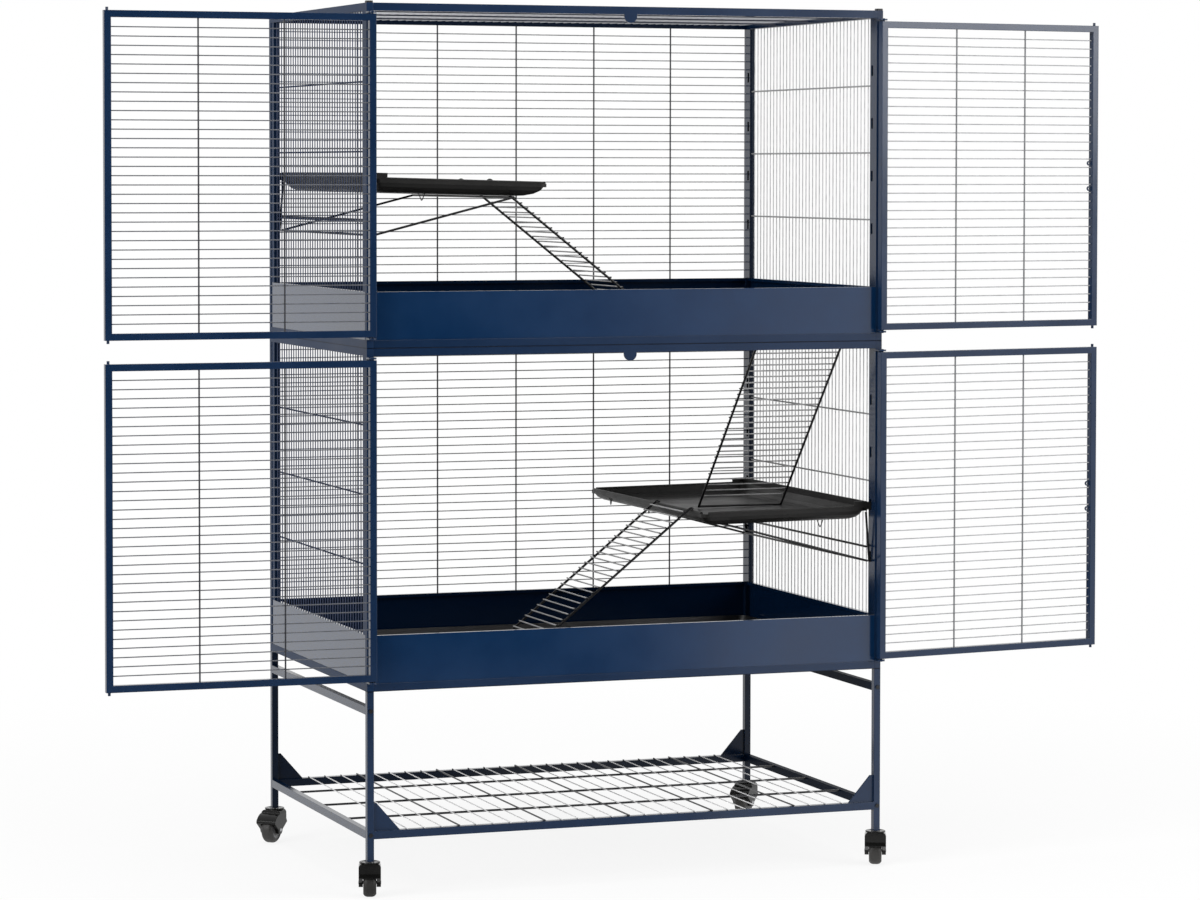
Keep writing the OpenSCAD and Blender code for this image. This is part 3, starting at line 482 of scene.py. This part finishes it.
# %% Storage grid wires
LONG_WIRES = (0.0031, 0.0030)  # depth below the grid's top where the long wires start
RAIL_ENDS = (0.012, 0.010)  # distance from the rear edge where the dark ends start
FIFTH_APART = 0.160  # from one thick short wire to the next
FIFTH_HALF = (0.0015, 0.0016)  # distance from such a wire's middle where its tone ends


def shelf_wires(tree, where):
    """The storage grid: the three long wires lie lowest, and every fifth of the short
    ones is thick. The distance to the nearest of them is a zigzag of the place. The
    short wires' ends on the rear rail are dark too, out of the light."""
    parts = axis_parts(tree, where)
    back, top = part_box("storage_grid")[1][1:]
    low = spread(tree, parts["Z"], top - LONG_WIRES[0], top - LONG_WIRES[1], 1.0, 0.0)
    end = spread(tree, parts["Y"], back - RAIL_ENDS[0], back - RAIL_ENDS[1], 0.0, 1.0)
    away = calculate(tree, "PINGPONG", parts["X"], FIFTH_APART / 2)
    fifth = spread(tree, away, *FIFTH_HALF, 1.0, 0.0)
    return calculate(tree, "MAXIMUM", calculate(tree, "MAXIMUM", low, end), fifth)


# Painted glare: the near-white tone of the thin wires. The dark ends on the rear rail are
# painted shade.
wire_coats_and_glare["storage_grid"] = wire_finish_and_glare("storage grid coat", shelf_wires,
                                         (0.880, 0.880, 0.885), (0.022, 0.023, 0.027))
print("thick wires in the storage grid every", FIFTH_APART, "m")

# %% Ladder wires
LADDER_RAIL = (0.0046, 0.0045)  # distance from the ladder's edge where a rail starts
LADDER_FOOT = (0.0050, 0.0051)  # height over the ladder's foot where its bar ends


def ladder_rails(name):
    """The rails of a ladder lie at the ends of its box, across the way that it leads,
    and the bar at its foot lies lowest."""
    low, high = (Vector(corner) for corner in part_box(name))
    middle, half = (low + high) / 2, (high - low) / 2
    axis = "X" if name.startswith("passage") else "Y"
    index = "XYZ".index(axis)

    def thick_parts(tree, where):
        parts = axis_parts(tree, where)
        off = calculate(tree, "ABSOLUTE",
                        calculate(tree, "SUBTRACT", parts[axis], middle[index]))
        rails = spread(tree, off, half[index] - LADDER_RAIL[0],
                       half[index] - LADDER_RAIL[1], 0.0, 1.0)
        foot = spread(tree, parts["Z"], low[2] + LADDER_FOOT[0],
                      low[2] + LADDER_FOOT[1], 1.0, 0.0)
        return calculate(tree, "MAXIMUM", rails, foot)
    return thick_parts


for name in nodes:
    if name.endswith("_ladder"):
        # Painted glare: the pale grey tone of the thin rungs, as on the panels.
        wire_coats_and_glare[name] = wire_finish_and_glare(name + " coat", ladder_rails(name),
                                       (0.400, 0.400, 0.405), (0.008, 0.008, 0.009))
print("wire coats:", len(wire_coats_and_glare))

# %% [markdown]
# ## Moulded plastic
# The trays and shelves are pressed from sheet with a fine leather grain, which stops
# them looking wet. Grain like this is a cell pattern rather than noise: Voronoi
# cells a millimetre across, softened, give pebbles with valleys between them.

# %% Grained plastic
def moulded(name, pale, deep, gloss, grain_scale, grain_depth, mirror=0.5, edge=0.0):
    """Grained plastic or rubber: pebbles from cell distances, with broad worn patches."""
    material, tree, shader = new_material(name)
    where = object_place(tree)
    cells = add_node(tree, "ShaderNodeTexVoronoi", feature="SMOOTH_F1", Scale=grain_scale,
                     Smoothness=0.6)
    tree.links.new(where, cells.inputs["Vector"])
    cloud = noise(tree, where, 14.0, 5.0, 0.6)
    worn = spread(tree, cloud, 0.32, 0.68, 0.0, 1.0)
    tree.links.new(two_tone(tree, worn, deep, pale), shader.inputs["Base Color"])
    tree.links.new(spread(tree, cloud, 0.3, 0.7, gloss - 0.06, gloss + 0.08),
                   shader.inputs["Roughness"])
    skin(tree, shader, cells.outputs["Distance"], grain_depth, 0.5, edge)
    shader.inputs["Specular IOR Level"].default_value = mirror
    return material


# %% Plastics
tray_plastic = moulded("black tray plastic", (0.011, 0.011, 0.012),
                       (0.006, 0.006, 0.007), 0.42, 900.0, 0.00012)
shelf_plastic = moulded("black shelf plastic", (0.0125, 0.012, 0.0115),
                        (0.0075, 0.0072, 0.007), 0.46, 900.0, 0.00015, mirror=0.26)
caster_plastic = moulded("glossy caster plastic", (0.009, 0.009, 0.0085),
                         (0.005, 0.005, 0.0048), 0.14, 260.0, 0.00020,
                         mirror=0.22, edge=0.0020)
dark_bolt = moulded("blackened bolts", (0.010, 0.011, 0.013),
                    (0.006, 0.006, 0.008), 0.30, 600.0, 0.00005)
hub_plastic = moulded("grey hub plastic", (0.115, 0.115, 0.118),
                      (0.080, 0.080, 0.083), 0.35, 700.0, 0.00005)
tread_rubber = moulded("wheel tread", (0.030, 0.028, 0.026),
                       (0.018, 0.017, 0.016), 0.55, 700.0, 0.00010)
print("materials so far:", len(bpy.data.materials))

# %% [markdown]
# ## Zinc
# Stems, axles and latches are zinc-plated steel: pale, with a soft cloudy gloss. One
# noise drives the colour, the roughness and the bump, so that they change together.
# Three separate noises would look like dirt on the metal.

# %% Plated steel
plated_steel, tree, shader = new_material("zinc plate")
bloom = noise(tree, object_place(tree), 160.0, 4.0, 0.6)
shader.inputs["Metallic"].default_value = 1.0
tree.links.new(two_tone(tree, spread(tree, bloom, 0.3, 0.7, 0.0, 1.0),
                        (0.42, 0.43, 0.45), (0.62, 0.63, 0.64)),
               shader.inputs["Base Color"])
tree.links.new(spread(tree, bloom, 0.3, 0.7, 0.24, 0.40), shader.inputs["Roughness"])
skin(tree, shader, bloom, 0.00004, 0.3)
print("plated:", plated_steel.name)

# %% [markdown]
# ## Wire loops under the shelves
# Short V-shaped loops of wire hang under the skirt of each shelf. What they are for
# can't be seen: they may be ends of the bracket's wires. Each could be a curve with a
# bevel, but a tube worked out with numpy stays plain mesh: a circle is carried along
# the V, and its two ends are closed.

# %% A mesh piece
def mesh_piece(name, points, faces, finish, body):
    """A finished mesh object that rides on a body, with its normals outwards."""
    mesh = bpy.data.meshes.new(name)
    mesh.from_pydata(points.tolist(), [], faces)
    shell = bmesh.new()
    shell.from_mesh(mesh)
    bmesh.ops.remove_doubles(shell, verts=shell.verts, dist=1e-7)
    bmesh.ops.recalc_face_normals(shell, faces=shell.faces)
    shell.to_mesh(mesh)
    shell.free()
    mesh.polygons.foreach_set("use_smooth", [True] * len(mesh.polygons))
    mesh.materials.append(finish)
    piece = bpy.data.objects.new(name, mesh)
    bpy.context.scene.collection.objects.link(piece)
    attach(piece, body)
    return piece


# %% Tubes
def grid_faces(rows, columns):
    """Quads between the rows of a grid whose columns close on themselves. A point's
    number is its row times the number of columns, plus its column."""
    row, column = np.meshgrid(np.arange(rows - 1), np.arange(columns), indexing="ij")
    following = (column + 1) % columns
    quads = np.stack([row * columns + column, row * columns + following,
                      (row + 1) * columns + following, (row + 1) * columns + column],
                     axis=-1)
    return quads.reshape(-1, 4).tolist()


def tube(path, radius, around=10):
    """Points and faces of a closed tube. At each point of the path stands a circle of
    the radius, square to the mean of the directions to and from it."""
    path = np.asarray(path, dtype=float)
    ahead = np.gradient(path, axis=0)
    ahead /= np.linalg.norm(ahead, axis=1, keepdims=True)
    aside = np.cross(ahead[0], path[len(path) // 2] - path[0])
    aside /= np.linalg.norm(aside)
    up = np.cross(ahead, aside)
    up /= np.linalg.norm(up, axis=1, keepdims=True)
    angle = np.linspace(0.0, 2 * np.pi, around, endpoint=False)
    ring = (np.cos(angle)[None, :, None] * aside[None, None, :]
            + np.sin(angle)[None, :, None] * up[:, None, :])
    points = (path[:, None, :] + radius * ring).reshape(-1, 3)
    faces = grid_faces(len(path), around)
    faces += [list(range(around)), list(range(len(points) - around, len(points)))]
    return points, faces


def joined(shapes):
    """One set of points and faces from several: each shape's point numbers start where
    the last one's end."""
    points, faces, count = [], [], 0
    for part_points, part_faces in shapes:
        points.append(part_points)
        faces += [[index + count for index in face] for face in part_faces]
        count += len(part_points)
    return np.concatenate(points), faces


# %% One loop
LOOP_WIRE = 0.0009  # radius
LOOP_DROP = 0.012
LOOP_HALF = 0.0055
TIP_EASE = 0.03  # rounds the tip of the V


def rim_loop(top, way):
    """A V of wire that hangs from the place top. Its height is a rounded V: the drop
    times the square root of the squared distance along it, eased at the tip."""
    step = np.linspace(-1.0, 1.0, 15)
    tip = np.sqrt(TIP_EASE)
    ease = (np.sqrt(step ** 2 + TIP_EASE) - tip) / (np.sqrt(1.0 + TIP_EASE) - tip)
    path = (np.asarray(top)[None, :]
            + step[:, None] * LOOP_HALF * np.asarray(way)[None, :]
            + (ease - 1.0)[:, None] * np.array([0.0, 0.0, LOOP_DROP]))
    return tube(path, LOOP_WIRE)


# %% Loops
FLANK_X = 0.381  # where along the front flank its loop is
FLANK_INSET = 0.0105  # behind the shelf's front edge
FLANK_TOP = 0.0050  # over the shelf's lowest point
EDGE_GAP = 0.0012  # beyond the shelf's free edge
EDGE_DEPTH = 0.0235  # under the shelf's highest point
EDGE_PLACES = (-0.009, 0.193)


def shelf_loops(shelf_name, side):
    """One loop at the foot of the front flank, and one along the free edge at each
    place from front to back. Their tops are out of sight behind the skirt."""
    low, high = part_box(shelf_name)
    free_x = min(abs(low[0]), abs(high[0])) + EDGE_GAP
    flank_place = (side * FLANK_X, low[1] + FLANK_INSET, low[2] + FLANK_TOP)
    shapes = [rim_loop(flank_place, (1.0, 0.0, 0.0))]
    shapes += [rim_loop((side * free_x, y, high[2] - EDGE_DEPTH), (0.0, 1.0, 0.0))
               for y in EDGE_PLACES]
    points, faces = joined(shapes)
    piece = mesh_piece(shelf_name + "_loops", points, faces, black_coat, "cage")
    return piece


lower_loops = shelf_loops("lower_shelf", 1)
upper_loops = shelf_loops("upper_shelf", -1)
print("loop faces:", len(lower_loops.data.polygons), len(upper_loops.data.polygons))

# %% [markdown]
# ## Caster trim
# On a real caster a pressed cover hides the ball race on top of the fork, and a plastic
# disc closes each side of the wheel. Both are turned parts, so each is a profile spun
# round an axis: the radius and the height of the profile are two lists of numbers, and
# the angle is the second parameter of the surface.

# %% Turned pieces
def turned(profile, centre, axis, around=40):
    """A closed ring: a loop of (radius, height) pairs spun round an axis. The height
    runs along the axis and the radius square to it."""
    profile = np.asarray(profile, dtype=float)
    axis = np.asarray(axis, dtype=float) / np.linalg.norm(axis)
    helper = np.array([0.0, 0.0, 1.0]) if abs(axis[2]) < 0.9 else np.array([1.0, 0.0, 0.0])
    first = np.cross(axis, helper)
    first /= np.linalg.norm(first)
    second = np.cross(axis, first)
    angle = np.linspace(0.0, 2 * np.pi, around, endpoint=False)
    spokes = (np.cos(angle)[:, None] * first[None, :]
              + np.sin(angle)[:, None] * second[None, :])
    points = (np.asarray(centre)[None, None, :]
              + profile[:, 0][:, None, None] * spokes[None, :, :]
              + profile[:, 1][:, None, None] * axis[None, None, :])
    rows = len(profile)
    seam = np.arange(around)
    last = (rows - 1) * around
    closing = np.stack([last + seam, last + (seam + 1) % around,
                        (seam + 1) % around, seam], axis=-1)
    return points.reshape(-1, 3), grid_faces(rows, around) + closing.tolist()


def rounded_loop(inner, outer, low, high, corner, steps=5):
    """The outline of a flat ring, as (radius, height). Each outer corner is a quarter
    circle: its sine and cosine times the corner's radius, from the corner's middle."""
    bend = np.linspace(0.0, np.pi / 2, steps)
    lower = np.stack([outer - corner + corner * np.sin(bend),
                      low + corner - corner * np.cos(bend)], axis=1)
    upper = np.stack([outer - corner + corner * np.cos(bend),
                      high - corner + corner * np.sin(bend)], axis=1)
    return np.concatenate([[(inner, low)], lower, upper, [(inner, high)]])


# %% The outline of a tyre
# The tread is crowned: its radius falls off towards the sides with the fourth power
# of the place across it, and the side turns in to a dish round the hub.
TYRE_HALF, TYRE_RADIUS, HUB_BORE = 0.0115, 0.025, 0.0031
CROWN_FALL = 0.0050
across = np.linspace(-1.0, 1.0, 21)
crown = np.stack([TYRE_RADIUS - CROWN_FALL * across ** 4, across * TYRE_HALF], axis=1)
dish = np.array([(0.0182, 1.0), (0.0172, 0.84), (0.0100, 0.84), (0.0092, 1.0)])
right_side = np.stack([dish[:, 0], dish[:, 1] * TYRE_HALF], axis=1)
bore = np.array([(HUB_BORE, TYRE_HALF), (HUB_BORE, -TYRE_HALF)])
left_side = right_side[::-1] * (1.0, -1.0)
tyre = np.concatenate([crown, right_side, bore, left_side])
print("tyre outline points:", len(tyre))

# %% The outlines of a race cover and a wheel disc
race_cover = rounded_loop(0.0086, 0.0185, -0.0031, -0.0004, 0.0012)
disc_rings = (rounded_loop(0.0085, 0.0174, 0.0093, 0.0108, 0.0006),
              rounded_loop(0.0100, 0.0112, 0.0106, 0.0113, 0.0003),
              rounded_loop(0.0150, 0.0162, 0.0106, 0.0113, 0.0003))
print("disc rings:", len(disc_rings))

# %% Race covers and wheel discs
for joint in frame["joints"]:
    place = np.array(joint["pos_m"])
    corner_name = joint["name"].rsplit("_", 1)[0]
    if joint["name"].endswith("_swivel"):
        points, faces = turned(race_cover, place, (0, 0, 1))
        piece = mesh_piece(corner_name + "_race_cover", points, faces, caster_plastic,
                           joint["child"])
    if joint["name"].endswith("_spin"):
        wheel = "caster_" + corner_name + "_wheel"
        points, faces = turned(tyre, place, joint["axis"], 64)
        piece = mesh_piece(corner_name + "_tyre", points, faces, tread_rubber,
                           joint["child"])
        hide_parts(wheel)
        points, faces = joined([turned(ring * (1.0, side), place, joint["axis"])
                                for side in (-1.0, 1.0) for ring in disc_rings])
        piece = mesh_piece(corner_name + "_wheel_discs", points, faces, hub_plastic,
                           joint["child"])

# %% [markdown]
# ## Dressing the frame
# Every node gets its finish from the words in its name, through its material slot. The
# mesh itself stays as the frame delivered it.

# %% Dress the frame
def finish_for(name):
    """The finish of a node, from the words in its name."""
    if name.endswith("_wheel"):
        return tread_rubber
    if name.endswith("_fork"):
        return caster_plastic
    if name.endswith(("_axle", "_latch")) or name == "caster_stems":
        return plated_steel
    if name == "stand_bolts":
        return dark_bolt
    if name in wire_coats_and_glare:
        return wire_coats_and_glare[name]
    if "bracket" in name:
        return black_coat
    if "guards" in name:
        return navy_sheet
    if name.endswith("_left_side"):
        return navy_dull_painted_shade
    if name == "stand_right_rails":
        return navy_shaded
    if name.endswith("_shelf"):
        return shelf_plastic
    if "tray" in name or name == "post_caps":
        return tray_plastic
    return navy_coat


for name, node in nodes.items():
    node.data.materials.clear()
    node.data.materials.append(finish_for(name))
print("dressed:", len(nodes))

# %% Finish
bpy.context.scene.view_settings.view_transform = "Standard"
bpy.context.view_layer.update()
